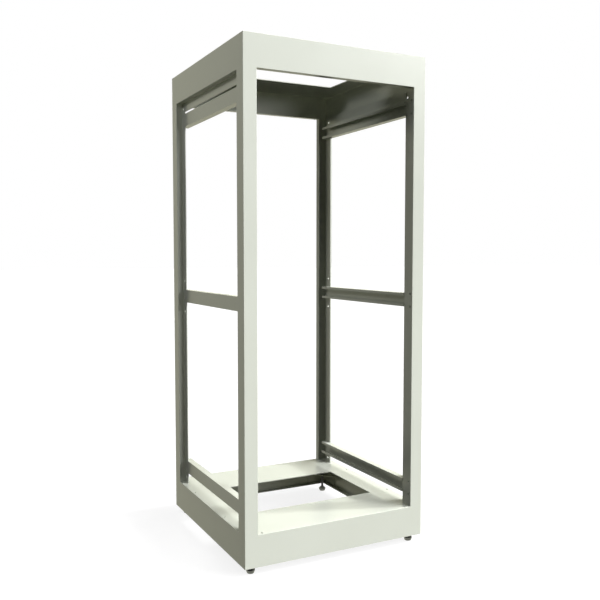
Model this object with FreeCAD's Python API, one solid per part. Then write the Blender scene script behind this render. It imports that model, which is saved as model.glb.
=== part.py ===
import FreeCAD, Part
import os

# Open frame equipment rack in folded sheet steel, welded: four corner posts between a base
# frame and a top frame, three channel rails on each side, and a screwed levelling foot at
# each corner.  Millimetres.  X runs across the rack, Y from the open front (-Y) to the
# rear, Z up from the floor.  The origin is on the floor, under the middle of the frame.

# ---- driving dimensions --------------------------------------------------------------
frame_width = 560.0          # outside of the left skin to outside of the right skin
frame_depth = 578.5          # front face to rear face
frame_height = 1378.0        # bottom edge of the base to the top of the frame
floor_gap = 22.0             # floor to the bottom edge of the base

sheet = 2.5                  # thickness of every folded piece
edge_radius = 1.0            # outside radius of the folds and of the dressed corners

post_face = 38.0             # width of a post on the front or rear face
post_side = 43.0             # width of a post on the side face
lip_depth = 18.0             # lip that turns in from the front or rear opening
recess_depth = 18.0          # how far the side opening's flange lies behind the skin
recess_flange = 27.0         # width of that flange on the rear posts
front_recess_flange = 21.0   # and on the front posts

beam_height = 87.0           # height of the base frame and of the top frame
end_flange = 164.0           # width of the flat at the front and at the rear
side_flange = 72.0           # width of the flat at each side
top_recess = 9.0             # how far the top flats lie below the top edge, for a cover
base_return = 18.0           # turned in along the bottom edge of the base

rail_height = 39.5
rail_lip = 8.0
rail_end_height = 140.0      # middle of the lower rail above the base's bottom edge,
                             # and of the upper rail below the frame's top
rail_gap = 6.25              # open slot between the upper rail and the top frame's flange

# Holes
lip_hole_diameter = 6.0
lip_hole_setback = 10.5      # behind the front face
lip_hole_pitch = 37.4        # between the two holes beside each rail's end
flange_hole_diameter = 7.0
flange_hole_end_gap = 17.0   # from either end of the post's flange
flange_hole_pitch = 97.0     # between the two holes either side of the middle rail
flat_hole_diameter = 6.0
flat_hole_inset = 9.0        # from the side face
flat_hole_pitch = 246.0      # front to rear
catch_hole_diameter = 7.0
catch_hole_inset = 14.0      # inboard of the post, in the front and rear sills and heads
catch_hole_setback = 9.5     # behind the front face, or before the rear face

# Levelling feet
foot_plate_leg = 74.0        # each leg of the three-cornered plate in the base's corner
foot_plate_height = 36.0     # top of the plate above the base's bottom edge
foot_plate_flange = 30.0     # turned down along the two skins
foot_inset = 27.0            # from the side face, and from the front or rear face
stem_diameter = 8.0
stem_hole_clearance = 0.4    # all round, where the stem passes the plate
thread_clearance = 0.05      # all round, in the nut and in the pad
stem_projection = 18.0       # of the stem above the plate
stem_chamfer = 0.8
nut_flats = 13.0
nut_height = 6.5
pad_diameter = 24.0
pad_foot_diameter = 19.0
pad_height = 10.0
pad_rim = 3.0                # straight part of the pad's edge, above its taper
collar_flats = 13.0
collar_height = 5.0
socket_depth = 8.0           # of the stem in the collar and pad

# ---- places worked out from them -----------------------------------------------------
half_width = frame_width / 2
half_depth = frame_depth / 2
base_bottom = floor_gap
base_top = base_bottom + beam_height
frame_top = base_bottom + frame_height
head_bottom = frame_top - beam_height

post_inner_x = half_width - post_face        # edge of the front and rear openings
post_inner_y = half_depth - post_side        # edge of the side openings
recess_x = half_width - recess_depth         # outer face of the flange in the recess
flange_end_y = post_inner_y - recess_flange
front_flange_end_y = post_inner_y - front_recess_flange
flange_middle_y = (flange_end_y + post_inner_y) / 2
cover_seat = frame_top - top_recess
opening_x = half_width - side_flange
opening_y = half_depth - end_flange

# The flange along the top reaches down to the slot above the upper rail.
head_flange_end = frame_top - rail_end_height + rail_height / 2 + rail_gap
rail_middles = {
    "lower": base_bottom + rail_end_height,
    "middle": (base_bottom + frame_top) / 2,
    "upper": frame_top - rail_end_height,
}

foot_x = half_width - foot_inset
foot_y = half_depth - foot_inset
foot_plate_top = base_bottom + foot_plate_height

X_AXIS = FreeCAD.Vector(1, 0, 0)
Y_AXIS = FreeCAD.Vector(0, 1, 0)
Z_AXIS = FreeCAD.Vector(0, 0, 1)
ORIGIN = FreeCAD.Vector(0, 0, 0)
PAST = 1.0                   # how far a cutting tool starts outside the sheet


def block(x_span, y_span, z_span):
    """A box between two corners, given as its three spans."""
    corner = FreeCAD.Vector(x_span[0], y_span[0], z_span[0])
    return Part.makeBox(x_span[1] - x_span[0], y_span[1] - y_span[0],
                        z_span[1] - z_span[0], corner)


def joined(pieces):
    """One solid from strips of sheet that meet along a fold."""
    solid = pieces[0].multiFuse(pieces[1:]).removeSplitter()
    return solid.Solids[0] if len(solid.Solids) == 1 else solid


def both_ways(shape, normal):
    """The shape and its mirror image across the plane through the origin."""
    return [shape, shape.mirror(ORIGIN, normal)]


def hole(centre, axis, diameter):
    """A drill that passes through one thickness of sheet from either side."""
    reach = sheet + PAST
    start = centre - axis * reach
    return Part.makeCylinder(diameter / 2, 2 * reach, start, axis)


def hexagon(flats, height, bottom):
    """A hexagonal prism standing at a foot's centre, two flats facing the sides."""
    middle = FreeCAD.Vector(foot_x, foot_y, bottom)
    radius = X_AXIS * (flats / 3 ** 0.5)
    corners = [middle + FreeCAD.Rotation(Z_AXIS, 30 + 60 * corner).multVec(radius)
               for corner in range(7)]
    return Part.Face(Part.makePolygon(corners)).extrude(Z_AXIS * height)


def fold_waste(axis, corner, into, span):
    """What an outside fold loses to its radius: a square bar less a round one.

    corner is where the fold's sharp edge crosses the plane through the origin, and into
    points from it towards the middle of the bend."""
    centre = corner + into * edge_radius
    near = centre + axis * span[0]
    far = corner - into * PAST + axis * span[1]
    square = block(*[sorted((near[way], far[way])) for way in range(3)])
    return square.cut(Part.makeCylinder(edge_radius, span[1] - span[0], near, axis))


def envelope():
    """The whole frame as one block with its upright corners and top edges rounded."""
    whole = block((-half_width, half_width), (-half_depth, half_depth),
                  (base_bottom, frame_top))
    rounded = []
    for edge in whole.Edges:
        upright = abs(edge.tangentAt(edge.FirstParameter).z) > 0.5
        at_top = abs(edge.CenterOfMass.z - frame_top) < PAST
        if upright or at_top:
            rounded.append(edge)
    return whole.makeFillet(edge_radius, rounded)


# ---- posts ---------------------------------------------------------------------------
def right_post(flange_end, flange_holes_y):
    """A corner angle over the full height, folded in again along both openings.

    It stands at the rear.  Its flange behind the side opening ends at flange_end."""
    skin = half_width - sheet
    back = half_depth - sheet
    between = (base_top, head_bottom)
    face = block((post_inner_x, half_width), (back, half_depth), (base_bottom, frame_top))
    side = block((skin, half_width), (post_inner_y, half_depth), (base_bottom, frame_top))
    lip = block((post_inner_x, post_inner_x + sheet), (half_depth - lip_depth, back), between)
    step = block((recess_x - sheet, skin), (post_inner_y, post_inner_y + sheet), between)
    flange = block((recess_x - sheet, recess_x), (flange_end, post_inner_y), between)
    post = joined([face, side, lip, step, flange])
    lip_fold = fold_waste(Z_AXIS, FreeCAD.Vector(post_inner_x, half_depth, 0),
                          FreeCAD.Vector(1, -1, 0), between)
    side_fold = fold_waste(Z_AXIS, FreeCAD.Vector(half_width, post_inner_y, 0),
                           FreeCAD.Vector(-1, 1, 0), between)
    middle = rail_middles["middle"]
    heights = [base_top + flange_hole_end_gap, middle - flange_hole_pitch / 2,
               middle + flange_hole_pitch / 2, head_bottom - flange_hole_end_gap]
    drills = [hole(FreeCAD.Vector(recess_x, flange_holes_y, z), X_AXIS, flange_hole_diameter)
              for z in heights]
    return post.cut([lip_fold, side_fold] + drills).common(envelope())


def rear_right_post():
    """The rear post, whose holes lie in the middle of its flange."""
    return right_post(flange_end_y, flange_middle_y)


def front_right_post():
    """The front post: a narrower flange, and a lip that carries on to the rails' ends.

    The lip sets out by one thickness of sheet before it carries on, and has holes beside
    the rails."""
    front = right_post(front_flange_end_y, flange_middle_y).mirror(ORIGIN, Y_AXIS)
    lip_end = -half_depth + lip_depth
    inner_web = block((post_inner_x + sheet, post_inner_x + 2 * sheet),
                      (lip_end - sheet, -post_inner_y),
                      (base_top, head_flange_end))
    setback = -half_depth + lip_hole_setback
    drills = [hole(FreeCAD.Vector(post_inner_x, setback, z + end * lip_hole_pitch / 2),
                   X_AXIS, lip_hole_diameter)
              for z in rail_middles.values() for end in (-1, 1)]
    return joined([front, inner_web]).cut(drills)


# ---- base and top frames -------------------------------------------------------------
def catch_holes(height):
    """The two small holes beside the posts, in the rear sill or head."""
    return [hole(FreeCAD.Vector(side * (post_inner_x - catch_hole_inset),
                                half_depth - catch_hole_setback, height),
                 Z_AXIS, catch_hole_diameter)
            for side in (-1, 1)]


def base_rear_beam():
    """The rear skin of the base, with its flat above and its return below."""
    back = half_depth - sheet
    between_skins = (-half_width + sheet, half_width - sheet)
    skin = block((-post_inner_x, post_inner_x), (back, half_depth), (base_bottom, base_top))
    flat = block(between_skins, (opening_y, back), (base_top - sheet, base_top))
    turned_in = block(between_skins, (half_depth - base_return, back),
                      (base_bottom, base_bottom + sheet))
    fold = fold_waste(X_AXIS, FreeCAD.Vector(0, half_depth, base_top),
                      FreeCAD.Vector(0, -1, -1), (-post_inner_x, post_inner_x))
    side_folds = both_ways(base_side_fold(), X_AXIS)
    side_holes = both_ways(flat_hole(), X_AXIS)
    beam = joined([skin, flat, turned_in])
    return beam.cut([fold] + side_folds + side_holes + catch_holes(base_top))


def base_side_fold():
    """The waste of the fold along the top of the base's right skin."""
    return fold_waste(Y_AXIS, FreeCAD.Vector(half_width, 0, base_top),
                      FreeCAD.Vector(-1, 0, -1), (-post_inner_y, post_inner_y))


def flat_hole():
    """The rear right hole in the base's flat, which crosses the seam between two beams."""
    return hole(FreeCAD.Vector(half_width - flat_hole_inset, flat_hole_pitch / 2, base_top),
                Z_AXIS, flat_hole_diameter)


def base_right_beam():
    """The side skin of the base between the posts, its flat and its return."""
    skin_x = half_width - sheet
    return_end = half_depth - base_return
    skin = block((skin_x, half_width), (-post_inner_y, post_inner_y), (base_bottom, base_top))
    flat = block((opening_x, skin_x), (-opening_y, opening_y), (base_top - sheet, base_top))
    turned_in = block((half_width - base_return, skin_x), (-return_end, return_end),
                      (base_bottom, base_bottom + sheet))
    beam = joined([skin, flat, turned_in])
    return beam.cut([base_side_fold()] + both_ways(flat_hole(), Y_AXIS))


def top_rear_beam():
    """The rear skin of the top frame, with its recessed flat and its lip below."""
    back = half_depth - sheet
    skin = block((-post_inner_x, post_inner_x), (back, half_depth),
                 (head_bottom, frame_top))
    flat = block((-half_width + sheet, half_width - sheet), (opening_y, back),
                 (cover_seat - sheet, cover_seat))
    lip = block((-post_inner_x - sheet, post_inner_x + sheet),
                (half_depth - lip_depth, back), (head_bottom, head_bottom + sheet))
    fold = fold_waste(X_AXIS, FreeCAD.Vector(0, half_depth, head_bottom),
                      FreeCAD.Vector(0, -1, 1), (-post_inner_x, post_inner_x))
    beam = joined([skin, flat, lip])
    return beam.cut([fold] + catch_holes(head_bottom)).common(envelope())


def top_right_beam():
    """The side skin of the top frame, stepped in below to the recess's flange."""
    skin_x = half_width - sheet
    skin = block((skin_x, half_width), (-post_inner_y, post_inner_y),
                 (head_bottom, frame_top))
    flat = block((opening_x, skin_x), (-opening_y, opening_y),
                 (cover_seat - sheet, cover_seat))
    step = block((recess_x - sheet, skin_x), (-post_inner_y, post_inner_y),
                 (head_bottom, head_bottom + sheet))
    flange = block((recess_x - sheet, recess_x), (-flange_end_y, flange_end_y),
                   (head_flange_end, head_bottom))
    fold = fold_waste(Y_AXIS, FreeCAD.Vector(half_width, 0, head_bottom),
                      FreeCAD.Vector(-1, 0, 1), (-post_inner_y, post_inner_y))
    beam = joined([skin, flat, step, flange])
    return beam.cut(fold).common(envelope())


# ---- side rails ----------------------------------------------------------------------
def right_rail(middle):
    """A lipped channel, open to the inside.

    Its web lies in the plane of the posts' flanges and ends against them.  Its two legs
    carry on behind the flanges."""
    web_x = recess_x - sheet
    low = middle - rail_height / 2
    high = middle + rail_height / 2
    pieces = [block((web_x, recess_x), (-front_flange_end_y, flange_end_y), (low, high))]
    length = (-post_inner_y, post_inner_y)
    for edge, inward in ((low, 1), (high, -1)):
        leg_span = sorted((edge, edge + inward * sheet))
        lip_span = sorted((edge, edge + inward * rail_lip))
        pieces.append(block((post_inner_x, web_x), length, leg_span))
        pieces.append(block((post_inner_x, post_inner_x + sheet), length, lip_span))
    return joined(pieces)


# ---- levelling feet ------------------------------------------------------------------
def rear_right_foot_plate():
    """A three-cornered plate in the base's corner, turned down along both skins."""
    wall_x = half_width - sheet
    wall_y = half_depth - sheet
    end_x = half_width - foot_plate_leg
    end_y = half_depth - foot_plate_leg
    under = foot_plate_top - sheet
    outline = [FreeCAD.Vector(wall_x, wall_y, under), FreeCAD.Vector(end_x, wall_y, under),
               FreeCAD.Vector(end_x, wall_y - sheet, under),
               FreeCAD.Vector(wall_x - sheet, end_y, under),
               FreeCAD.Vector(wall_x, end_y, under), FreeCAD.Vector(wall_x, wall_y, under)]
    plate = Part.Face(Part.makePolygon(outline)).extrude(Z_AXIS * sheet)
    down = (foot_plate_top - foot_plate_flange, under)
    rear_flange = block((end_x, wall_x), (wall_y - sheet, wall_y), down)
    right_flange = block((wall_x - sheet, wall_x), (end_y, wall_y), down)
    solid = joined([plate, rear_flange, right_flange])
    stem_hole = stem_diameter + 2 * stem_hole_clearance
    return solid.cut(hole(FreeCAD.Vector(foot_x, foot_y, under), Z_AXIS, stem_hole))


def rear_right_foot_stem():
    """The threaded stem, from the floor of the pad's socket to above the nut."""
    bottom = pad_height + collar_height - socket_depth
    length = foot_plate_top + stem_projection - bottom
    stem = Part.makeCylinder(stem_diameter / 2, length,
                             FreeCAD.Vector(foot_x, foot_y, bottom), Z_AXIS)
    return stem.makeChamfer(stem_chamfer, [stem.Edges[0], stem.Edges[2]])


def rear_right_foot_nut():
    """The nut that carries the plate on the stem, welded to the plate's upper face."""
    bore = stem_diameter + 2 * thread_clearance
    nut = hexagon(nut_flats, nut_height, foot_plate_top)
    return nut.cut(Part.makeCylinder(bore / 2, nut_height,
                                     FreeCAD.Vector(foot_x, foot_y, foot_plate_top), Z_AXIS))


def rear_right_foot_pad():
    """The pad: a disc that tapers to the floor, with a hexagonal collar for a spanner."""
    taper = pad_height - pad_rim
    cone = Part.makeCone(pad_foot_diameter / 2, pad_diameter / 2, taper,
                         FreeCAD.Vector(foot_x, foot_y, 0), Z_AXIS)
    rim = Part.makeCylinder(pad_diameter / 2, pad_rim,
                            FreeCAD.Vector(foot_x, foot_y, taper), Z_AXIS)
    collar = hexagon(collar_flats, collar_height, pad_height)
    floor = pad_height + collar_height - socket_depth
    socket = Part.makeCylinder(stem_diameter / 2 + thread_clearance, socket_depth,
                               FreeCAD.Vector(foot_x, foot_y, floor), Z_AXIS)
    return joined([cone, rim, collar]).cut(socket)


# ---- assembly ------------------------------------------------------------------------
parts = {}


def add_corner_set(name, rear_right, front_right=None):
    """Four like pieces, one at each corner, mirrored from the right-hand ones."""
    if front_right is None:
        front_right = rear_right.mirror(ORIGIN, Y_AXIS)
    for end, right in (("front", front_right), ("rear", rear_right)):
        parts[end + "_right_" + name] = right
        parts[end + "_left_" + name] = right.mirror(ORIGIN, X_AXIS)


def add_side_pair(prefix, name, right):
    """A right-hand piece and its left-hand mirror image."""
    parts[prefix + "right_" + name] = right
    parts[prefix + "left_" + name] = right.mirror(ORIGIN, X_AXIS)


add_corner_set("post", rear_right_post(), front_right_post())
for frame_name, rear_beam, right_beam in (("base_", base_rear_beam(), base_right_beam()),
                                          ("top_", top_rear_beam(), top_right_beam())):
    parts[frame_name + "rear_beam"] = rear_beam
    parts[frame_name + "front_beam"] = rear_beam.mirror(ORIGIN, Y_AXIS)
    add_side_pair(frame_name, "beam", right_beam)
for level, rail_middle in rail_middles.items():
    add_side_pair("", level + "_rail", right_rail(rail_middle))
add_corner_set("foot_plate", rear_right_foot_plate())
add_corner_set("foot_stem", rear_right_foot_stem())
add_corner_set("foot_nut", rear_right_foot_nut())
add_corner_set("foot_pad", rear_right_foot_pad())

os.makedirs("parts", exist_ok=True)
for node, shape in parts.items():
    shape.exportStep("parts/" + node + ".step")
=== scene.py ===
import math
import bpy
from mathutils import Matrix, Vector


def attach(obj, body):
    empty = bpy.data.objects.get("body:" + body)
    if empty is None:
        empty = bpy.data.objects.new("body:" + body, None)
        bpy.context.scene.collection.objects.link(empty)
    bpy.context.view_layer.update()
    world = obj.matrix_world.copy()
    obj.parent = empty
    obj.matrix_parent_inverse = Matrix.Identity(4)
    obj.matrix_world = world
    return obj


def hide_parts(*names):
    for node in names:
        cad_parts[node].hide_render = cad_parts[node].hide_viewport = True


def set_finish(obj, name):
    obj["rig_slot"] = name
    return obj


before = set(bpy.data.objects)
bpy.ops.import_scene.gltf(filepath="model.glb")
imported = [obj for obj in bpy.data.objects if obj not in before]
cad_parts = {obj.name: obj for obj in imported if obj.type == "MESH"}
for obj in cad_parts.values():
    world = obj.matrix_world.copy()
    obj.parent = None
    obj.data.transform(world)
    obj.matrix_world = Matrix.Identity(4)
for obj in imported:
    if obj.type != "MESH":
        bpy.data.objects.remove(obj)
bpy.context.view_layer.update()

# ---- Base frame ------------------------------------------------------------------------
# Four beams folded from 2.5 mm mild steel sheet, each a skin with a flat along its top and a
# short return along its bottom edge.  They are butt welded, dressed flush and powder coated
# with the rest of the frame in one go, so no seam shows on the faces.
MM = 0.001


def linear(hex_colour):
    """An sRGB hex colour as linear red, green, blue and alpha."""
    channels = [int(hex_colour[place:place + 2], 16) / 255 for place in (1, 3, 5)]
    return [c / 12.92 if c <= 0.04045 else ((c + 0.055) / 1.055) ** 2.4
            for c in channels] + [1.0]


def add_node(tree, kind, values=None, links=None, **properties):
    """Adds a node, sets its properties and input values, and links its inputs."""
    node = tree.nodes.new(kind)
    for name, value in properties.items():
        setattr(node, name, value)
    for socket, value in (values or {}).items():
        node.inputs[socket].default_value = value
    for socket, source in (links or {}).items():
        tree.links.new(source, node.inputs[socket])
    return node


def new_material(name):
    """A material with nodes, and its node tree."""
    material = bpy.data.materials.new(name)
    material.use_nodes = True
    return material, material.node_tree


def powder_coat():
    """Light grey powder coat: epoxy-polyester powder baked on steel sheet, semi-gloss.

    The film flows out to a shallow orange peel of about 2.5 mm from crest to crest, and its
    thickness drifts over a hand's width, which shows as a faint cloudiness."""
    coat_colour = linear("#DFE3D8")
    thin_colour = linear("#D9DDD1")
    peel_pitch = 2.5 * MM
    peel_depth = 0.012 * MM
    cloud_size = 160 * MM
    gloss_patch = 45 * MM
    material, tree = new_material("powder_coat_light_grey")
    shader = tree.nodes["Principled BSDF"]
    shader.inputs["IOR"].default_value = 1.5
    place = add_node(tree, "ShaderNodeTexCoord").outputs["Object"]
    cloud = add_node(tree, "ShaderNodeTexNoise", {"Scale": 1 / cloud_size, "Detail": 2.0},
                     {"Vector": place})
    colour = add_node(tree, "ShaderNodeMix", {6: coat_colour, 7: thin_colour},
                      {0: cloud.outputs["Fac"]}, data_type="RGBA")
    tree.links.new(colour.outputs[2], shader.inputs["Base Color"])
    patches = add_node(tree, "ShaderNodeTexNoise", {"Scale": 1 / gloss_patch, "Detail": 3.0},
                       {"Vector": place})
    gloss = add_node(tree, "ShaderNodeMapRange", {"To Min": 0.18, "To Max": 0.28},
                     {"Value": patches.outputs["Fac"]})
    tree.links.new(gloss.outputs["Result"], shader.inputs["Roughness"])
    peel = add_node(tree, "ShaderNodeTexNoise", {"Scale": 1 / peel_pitch, "Detail": 1.0},
                    {"Vector": place})
    bump = add_node(tree, "ShaderNodeBump", {"Strength": 1.0, "Distance": peel_depth},
                    {"Height": peel.outputs["Fac"]})
    tree.links.new(bump.outputs["Normal"], shader.inputs["Normal"])
    return material


coat = powder_coat()


def finish_node(name, material):
    """Gives a folded piece its finish."""
    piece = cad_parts[name]
    piece.data.materials.clear()
    piece.data.materials.append(material)


for side in ("front", "rear", "left", "right"):
    finish_node("base_" + side + "_beam", coat)

# ---- Corner posts ----------------------------------------------------------------------
# One folded sheet each: a corner angle over the full height, turned in again as a lip along
# the front or rear opening, and set back 18 mm as a flange along the side opening.
for end in ("front", "rear"):
    for side in ("left", "right"):
        finish_node(end + "_" + side + "_post", coat)

# ---- Top frame -------------------------------------------------------------------------
# Beams like the base frame's, with the flats sunk below the top edge for a cover.  Below the
# skins are a return at the front and rear, and a step and a hanging flange at each side.
for side in ("front", "rear", "left", "right"):
    finish_node("top_" + side + "_beam", coat)

# ---- Joint plates ----------------------------------------------------------------------
# A 2.4 mm tab welded behind each end of the side flanges at the front, across the slot between
# the top frame's flange and the post's.  Sheared from flat sheet, with clipped corners, and
# narrow enough to leave the post's fixing hole clear.
tab_middle = Vector((258.2, -221.2, 1295.8)) * MM
tab_size = Vector((2.4, 14.4, 30.4)) * MM
tab_corner = 3 * MM


def start_piece():
    """Clears the selection, so that an operator acts only on what is added next."""
    bpy.ops.object.select_all(action="DESELECT")


def select_where(test, kind="FACE"):
    """In edit mode, selects the faces or edges whose middle and normal or run pass the test."""
    bpy.ops.mesh.select_mode(type=kind)
    bpy.ops.mesh.select_all(action="DESELECT")
    bpy.ops.object.mode_set(mode="OBJECT")
    mesh = bpy.context.object.data
    if kind == "FACE":
        for face in mesh.polygons:
            face.select = test(face.center, face.normal)
    else:
        for edge in mesh.edges:
            first, last = (mesh.vertices[corner].co for corner in edge.vertices)
            edge.select = test((first + last) / 2, (last - first).normalized())
    bpy.ops.object.mode_set(mode="EDIT")


def finish_piece(name, material, slot):
    """Puts the piece's place in its mesh, names it and gives it its finish."""
    bpy.ops.object.mode_set(mode="OBJECT")
    piece = bpy.context.object
    bpy.ops.object.transform_apply(location=True, rotation=True, scale=True)
    piece.name = name
    piece.data.name = name
    piece.data.materials.clear()
    piece.data.materials.append(material)
    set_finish(piece, slot)
    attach(piece, "root")
    return piece


def copy_piece(piece, name, place):
    """A copy with its own mesh, moved or mirrored by the matrix."""
    twin = piece.copy()
    twin.data = piece.data.copy()
    twin.data.transform(place)
    if place.determinant() < 0:
        twin.data.flip_normals()
    twin.name = name
    twin.data.name = name
    bpy.context.collection.objects.link(twin)
    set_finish(twin, piece["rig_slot"])
    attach(twin, "root")
    return twin


start_piece()
bpy.ops.mesh.primitive_cube_add(size=1, location=tab_middle)
bpy.context.object.scale = tab_size
bpy.ops.object.transform_apply(location=True, rotation=True, scale=True)
bpy.ops.object.mode_set(mode="EDIT")
select_where(lambda middle, run: abs(run.x) > 0.9, "EDGE")
bpy.ops.mesh.bevel(offset=tab_corner, segments=1)
right_tab = finish_piece("front_right_joint_plate", coat, "painted_steel")
copy_piece(right_tab, "front_left_joint_plate", Matrix.Scale(-1, 4, (1, 0, 0)))

# ---- Side rails ------------------------------------------------------------------------
# Lipped channels of the same sheet, open to the inside.  They are welded between the posts,
# with their webs flush with the posts' flanges.
for side in ("left", "right"):
    for level in ("lower", "middle", "upper"):
        finish_node(side + "_" + level + "_rail", coat)

# ---- Levelling feet --------------------------------------------------------------------
# A three-cornered plate in each corner of the base carries a welded nut, and a zinc plated
# M8 stem with a hexagonal collar and a round pad screws down through it.


def zinc_plate():
    """Zinc plated steel: turned or rolled, then electroplated and passivated, dull grey."""
    bright = linear("#85878E")
    dull = linear("#5F6168")
    blotch_size = 6 * MM
    material, tree = new_material("zinc_plated_steel")
    shader = tree.nodes["Principled BSDF"]
    shader.inputs["Metallic"].default_value = 1.0
    place = add_node(tree, "ShaderNodeTexCoord").outputs["Object"]
    blotch = add_node(tree, "ShaderNodeTexNoise", {"Scale": 1 / blotch_size, "Detail": 3.0},
                      {"Vector": place})
    colour = add_node(tree, "ShaderNodeMix", {6: bright, 7: dull},
                      {0: blotch.outputs["Fac"]}, data_type="RGBA")
    tree.links.new(colour.outputs[2], shader.inputs["Base Color"])
    gloss = add_node(tree, "ShaderNodeMapRange", {"To Min": 0.25, "To Max": 0.45},
                     {"Value": blotch.outputs["Fac"]})
    tree.links.new(gloss.outputs["Result"], shader.inputs["Roughness"])
    return material


zinc = zinc_plate()
foot_x, foot_y = -253.0 * MM, -262.25 * MM
weld_distance = 0.01 * MM
spanner_size = 13
hexagon_corner = spanner_size / math.sqrt(3) * MM


def trace_profile(points, base):
    """Draws half a turned profile, as radius and height in mm, beside the foot's axis."""
    radius, height = points[0]
    start_piece()
    bpy.ops.mesh.primitive_plane_add(
        size=MM, location=(foot_x + radius * MM, foot_y, (base + height) * MM))
    bpy.ops.object.mode_set(mode="EDIT")
    bpy.ops.mesh.select_mode(type="VERT")
    bpy.ops.mesh.merge(type="CENTER")
    for (r0, z0), (r1, z1) in zip(points, points[1:]):
        bpy.ops.mesh.extrude_region_move(
            TRANSFORM_OT_translate={"value": ((r1 - r0) * MM, 0, (z1 - z0) * MM)})


def chamfer_end(rise, taper, **pivot):
    """Extrudes the selected end by a rise in mm, and narrows the new end by the taper."""
    bpy.ops.mesh.extrude_region_move(TRANSFORM_OT_translate={"value": (0, 0, rise * MM)})
    bpy.ops.transform.resize(value=(taper, taper, 1), **pivot)


# The pad: turned, tapering to the floor, with a hexagonal collar for a 13 mm spanner.
pad_outline = ((0, 0), (9.1, 0), (9.5, 0.5), (11.7, 6.6), (12, 7.2), (12, 9.4), (11.4, 10),
               (7.6, 10.2), (0, 10.2))
collar_height, collar_middle = 4.4 * MM, 12.2 * MM
trace_profile(pad_outline, 0)
bpy.ops.mesh.select_all(action="SELECT")
bpy.ops.mesh.spin(steps=48, angle=2 * math.pi, center=(foot_x, foot_y, 0), axis=(0, 0, 1))
bpy.ops.mesh.select_all(action="SELECT")
bpy.ops.mesh.remove_doubles(threshold=weld_distance)
bpy.ops.mesh.normals_make_consistent(inside=False)
bpy.ops.object.mode_set(mode="OBJECT")
bpy.ops.object.transform_apply(location=True, rotation=True, scale=True)
bpy.ops.object.mode_set(mode="EDIT")
bpy.ops.mesh.select_all(action="DESELECT")
bpy.ops.mesh.primitive_cylinder_add(vertices=6, radius=hexagon_corner, depth=collar_height,
                                    location=(foot_x, foot_y, collar_middle))
select_where(lambda middle, normal: normal.z > 0.9 and middle.z > 14 * MM)
chamfer_end(0.6, 0.86)
pad = finish_piece("front_left_foot_pad_turned", zinc, "plated_steel")
bpy.ops.object.shade_smooth_by_angle(angle=math.radians(30))

# The stem: an M8 thread of 1.25 mm pitch, rolled, with a chamfered end.
thread_pitch = 1.25
thread_start, thread_end, stem_end = 12.0, 75.2, 76.0
thread_turns = math.ceil((thread_end - thread_start) / thread_pitch) + 2
tooth = ((3.35, 0), (3.95, 0.45), (3.95, 0.62), (3.35, 1.07), (3.35, 1.25))
trace_profile(tooth, thread_start - thread_pitch)
bpy.ops.object.mode_set(mode="OBJECT")
bpy.context.scene.cursor.location = (foot_x, foot_y, 0)
bpy.ops.object.origin_set(type="ORIGIN_CURSOR")
bpy.context.scene.cursor.location = (0, 0, 0)
screw = bpy.context.object.modifiers.new("thread", "SCREW")
screw.axis = "Z"
screw.angle = 2 * math.pi
screw.screw_offset = thread_pitch * MM
screw.iterations = thread_turns
screw.steps = screw.render_steps = 20
screw.use_merge_vertices = True
screw.merge_threshold = weld_distance
bpy.ops.object.modifier_apply(modifier="thread")
bpy.ops.object.transform_apply(location=True, rotation=True, scale=True)
bpy.ops.object.mode_set(mode="EDIT")
bpy.ops.mesh.select_all(action="SELECT")
bpy.ops.mesh.remove_doubles(threshold=weld_distance)
bpy.ops.mesh.bisect(plane_co=(foot_x, foot_y, thread_start * MM), plane_no=(0, 0, 1),
                    use_fill=True, clear_inner=True)
bpy.ops.mesh.select_all(action="SELECT")
bpy.ops.mesh.bisect(plane_co=(foot_x, foot_y, thread_end * MM), plane_no=(0, 0, 1),
                    use_fill=True, clear_outer=True)
bpy.ops.mesh.select_all(action="SELECT")
bpy.ops.mesh.normals_make_consistent(inside=False)
select_where(lambda middle, normal: normal.z > 0.99 and middle.z > (thread_end - 0.05) * MM)
chamfer_end(stem_end - thread_end, 0.8, center_override=(foot_x, foot_y, stem_end * MM))
stem = finish_piece("front_left_foot_stem_threaded", zinc, "plated_steel")

# The nut: an M8 nut, 13 mm across the flats, with both ends chamfered.
nut_bottom, nut_top, nut_chamfer = 58.0, 64.5, 0.8
start_piece()
bpy.ops.mesh.primitive_cylinder_add(
    vertices=6, radius=hexagon_corner, depth=(nut_top - nut_bottom - 2 * nut_chamfer) * MM,
    location=(foot_x, foot_y, (nut_bottom + nut_top) / 2 * MM))
bpy.ops.object.transform_apply(location=True, rotation=True, scale=True)
bpy.ops.object.mode_set(mode="EDIT")
for way in (1, -1):
    select_where(lambda middle, normal: normal.z * way > 0.9)
    chamfer_end(way * nut_chamfer, 0.88)
nut = finish_piece("front_left_foot_nut_chamfered", zinc, "plated_steel")

for end, dy in (("rear", -2 * foot_y), ("front", 0)):
    for side, dx in (("right", -2 * foot_x), ("left", 0)):
        corner = end + "_" + side + "_foot_"
        finish_node(corner + "plate", coat)
        for piece, node in ((pad, "pad"), (stem, "stem"), (nut, "nut")):
            detail = piece.name.rsplit("_", 1)[1]
            if (end, side) != ("front", "left"):
                piece = copy_piece(piece, corner + node + "_" + detail,
                                   Matrix.Translation((dx, dy, 0)))
            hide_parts(corner + node)

# ---- Floor and surroundings ------------------------------------------------------------
# A plain white studio floor and a white backdrop round the rear half of the room, with the
# front half dark.  Both show white to the camera and in gloss, and scatter little light.
bpy.ops.object.select_all(action="DESELECT")
bpy.ops.mesh.primitive_plane_add(size=80, location=(0, 0, -0.2 * MM))
floor = bpy.context.object
floor.name = "floor"


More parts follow.
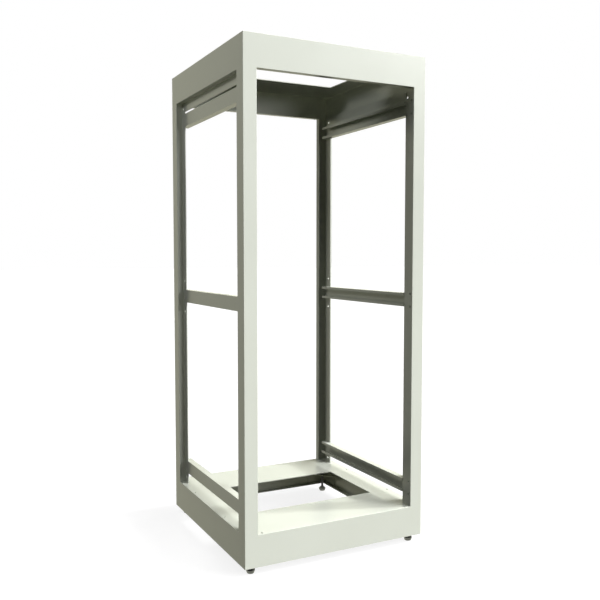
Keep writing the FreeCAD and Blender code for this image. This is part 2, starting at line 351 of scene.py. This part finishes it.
def seen_directly(tree):
    """1 for what the camera, gloss or glass sees, and 0 for light that is scattered."""
    rays = add_node(tree, "ShaderNodeLightPath")
    gloss = add_node(tree, "ShaderNodeMath", None,
                     {0: rays.outputs["Is Camera Ray"], 1: rays.outputs["Is Glossy Ray"]},
                     operation="MAXIMUM")
    glass = add_node(tree, "ShaderNodeMath", None,
                     {0: gloss.outputs[0], 1: rays.outputs["Is Transmission Ray"]},
                     operation="MAXIMUM")
    return glass.outputs[0]


def white_or_warm(tree):
    """White to the camera and a warm white in gloss."""
    rays = add_node(tree, "ShaderNodeLightPath")
    tone = add_node(tree, "ShaderNodeMix", {6: linear("#FFFEDE"), 7: linear("#FFFFFF")},
                    {0: rays.outputs["Is Camera Ray"]}, data_type="RGBA")
    return tone.outputs[2]


def studio_floor():
    """Matt white floor whose scattered light is kept low."""
    material, tree = new_material("studio_floor")
    tree.nodes.clear()
    shaded = add_node(tree, "ShaderNodeBsdfDiffuse", {"Color": linear("#7F7F7F")})
    glow = add_node(tree, "ShaderNodeEmission", {"Strength": 0.85},
                    {"Color": white_or_warm(tree)})
    white = add_node(tree, "ShaderNodeAddShader", None,
                     {0: shaded.outputs[0], 1: glow.outputs[0]})
    dim = add_node(tree, "ShaderNodeBsdfDiffuse", {"Color": linear("#303030")})
    both = add_node(tree, "ShaderNodeMixShader", None,
                    {0: seen_directly(tree), 1: dim.outputs[0], 2: white.outputs[0]})
    add_node(tree, "ShaderNodeOutputMaterial", None, {"Surface": both.outputs[0]})
    return material


floor.data.materials.append(studio_floor())


def studio_room():
    """White to the camera all round, white in gloss towards the rear, and dim otherwise."""
    room = bpy.data.worlds.new("studio")
    room.use_nodes = True
    tree = room.node_tree
    tree.nodes.clear()
    bearing = add_node(tree, "ShaderNodeSeparateXYZ", None,
                       {0: add_node(tree, "ShaderNodeTexCoord").outputs["Generated"]})
    rear_half = add_node(tree, "ShaderNodeMapRange",
                         {"From Min": -0.1, "From Max": 0.25, "To Min": 0.0, "To Max": 0.87},
                         {"Value": bearing.outputs["Y"]}, interpolation_type="SMOOTHSTEP")
    rays = add_node(tree, "ShaderNodeLightPath")
    brightness = add_node(tree, "ShaderNodeMath", None,
                          {0: rear_half.outputs[0], 1: rays.outputs["Is Camera Ray"]},
                          operation="MAXIMUM")
    backdrop = add_node(tree, "ShaderNodeBackground", None,
                        {"Color": white_or_warm(tree), "Strength": brightness.outputs[0]})
    ambient = add_node(tree, "ShaderNodeBackground",
                       {"Color": linear("#FFFFFF"), "Strength": 0.07})
    both = add_node(tree, "ShaderNodeMixShader", None,
                    {0: seen_directly(tree), 1: ambient.outputs[0], 2: backdrop.outputs[0]})
    add_node(tree, "ShaderNodeOutputWorld", None, {"Surface": both.outputs[0]})
    return room


bpy.context.scene.world = studio_room()

# ---- Lights ----------------------------------------------------------------------------
# A key light on the right, a broad soft light between it and the front, a soft light high up,
# one behind, and a low one that reaches in under the top.  These light only what they strike.
# A small fill on the left also lights by what it scatters inside the frame.


def place_lamp(kind, name, bearing, elevation, distance, aim_height, energy):
    """Adds a lamp that looks at the rack's axis.  Bearing is from +X towards the front."""
    turn = math.radians(bearing)
    rise = math.radians(elevation)
    towards = Vector((math.cos(rise) * math.cos(turn), -math.cos(rise) * math.sin(turn),
                      math.sin(rise)))
    bpy.ops.object.light_add(type=kind, location=towards * distance + Vector((0, 0, aim_height)),
                             rotation=towards.to_track_quat("Z", "Y").to_euler())
    lamp = bpy.context.object
    lamp.name = name
    lamp.data.energy = energy
    return lamp.data


for name, bearing, elevation, strength, spread in (
        ("key", 20, 30, 0.68, 5), ("broad", 45, 27, 0.76, 30), ("high", 30, 75, 0.64, 30),
        ("behind", -90, 8, 0.50, 20)):
    lamp = place_lamp("SUN", name, bearing, elevation, 4, 0.7, strength * math.pi)
    lamp.angle = math.radians(spread)
    lamp.cycles.max_bounces = 0
    bpy.context.object.visible_glossy = name != "behind"

lamp = place_lamp("AREA", "low", 70, 9, 5, 1.35, 54)
lamp.shape = "DISK"
lamp.size = 2.2
lamp.cycles.max_bounces = 0
bpy.context.object.visible_glossy = False

lamp = place_lamp("AREA", "fill", 169.7, 40.3, 2.94, 0.7, 9.2)
lamp.shape = "DISK"
lamp.size = 1.2

# ---- Camera ----------------------------------------------------------------------------
# At mid height, 27 degrees round to the left, looking slightly down.
camera_place = (-1.0200, -2.0468, 0.8425)
look_down, look_right = 3.480, 27.139
bpy.ops.object.camera_add(
    location=camera_place,
    rotation=(math.radians(90 - look_down), 0, math.radians(-look_right)))
camera = bpy.context.object
camera.data.sensor_width = 36
camera.data.lens = 44.89
bpy.context.scene.camera = camera

bpy.context.scene.view_settings.view_transform = "Standard"
